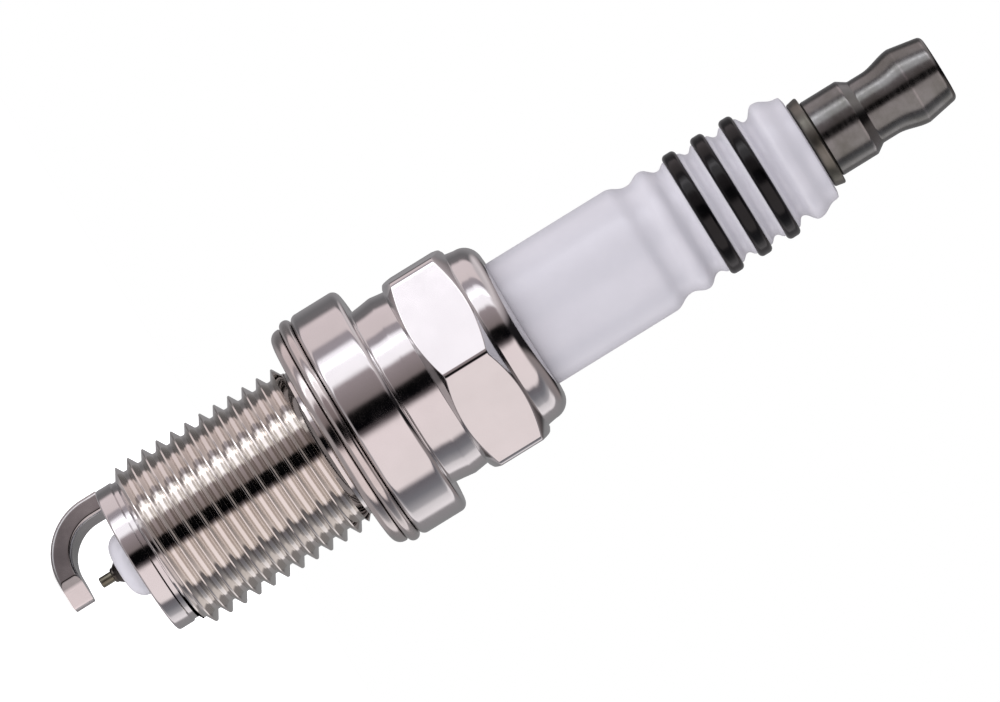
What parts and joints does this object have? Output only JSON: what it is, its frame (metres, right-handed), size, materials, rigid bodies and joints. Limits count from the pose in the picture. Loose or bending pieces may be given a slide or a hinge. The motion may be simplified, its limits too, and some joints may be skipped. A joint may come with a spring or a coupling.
{
  "type": "spark plug",
  "caption": "Long-reach spark plug: threaded steel shell with hexagon and folded gasket, ribbed white insulator, fine-tip electrode, hooked side electrode and waisted terminal nut.",
  "frame": {"origin": "on the plug's axis, in the plane of the gasket's lower sealing face, where the plug meets the cylinder head", "axes": "+Z along the plug's axis towards the terminal; the hexagon's flats face X and its corners point along Y"},
  "size_m": [0.019, 0.019, 0.0755],
  "materials": {
    "plated_steel": "bright nickel plate, smooth",
    "gasket_steel": "plated sheet, satin",
    "strap_nickel": "drawn nickel alloy, fine lengthwise grain",
    "glazed_alumina": "gloss glaze",
    "black_glaze": "gloss black glaze",
    "pin_nickel": "turned nickel alloy",
    "copper": "plain copper",
    "precious_tip": "dull precious-metal alloy",
    "weld_metal": "fused, lightly rippled",
    "seal_glass": "copper-filled glass",
    "resistor_body": "matt carbon and glass",
    "stud_steel": "zinc-plated, dull",
    "nut_steel": "turned steel, fine rings",
    "washer_steel": "plain soft steel",
    "talc": "pressed powder"
  },
  "bodies": {
    "plug_core": {"metal_shell": "plated_steel", "ground_electrode": "strap_nickel", "insulator": "glazed_alumina", "insulator_band_1": "black_glaze", "insulator_band_2": "black_glaze", "insulator_band_3": "black_glaze", "centre_electrode": "pin_nickel", "centre_electrode_core": "copper", "centre_electrode_tip": "precious_tip", "tip_weld": "weld_metal", "lower_glass_seal": "seal_glass", "resistor": "resistor_body", "upper_glass_seal": "seal_glass", "terminal_stud": "stud_steel", "seat_washer": "washer_steel", "lower_packing_ring": "washer_steel", "talc_fill": "talc", "upper_packing_ring": "washer_steel"},
    "gasket": {"crush_gasket": "gasket_steel"},
    "nut": {"terminal_nut": "nut_steel"}
  },
  "joints": [
    {"name": "gasket_turn", "type": "hinge", "parent": "plug_core", "child": "gasket", "pos_m": [0, 0, 0.001], "axis": [0, 0, 1], "continuous": true},
    {"name": "terminal_nut_lift", "type": "slide", "parent": "plug_core", "child": "nut", "axis": [0, 0, 1], "range_m": [0, 0.0105]}
  ]
}
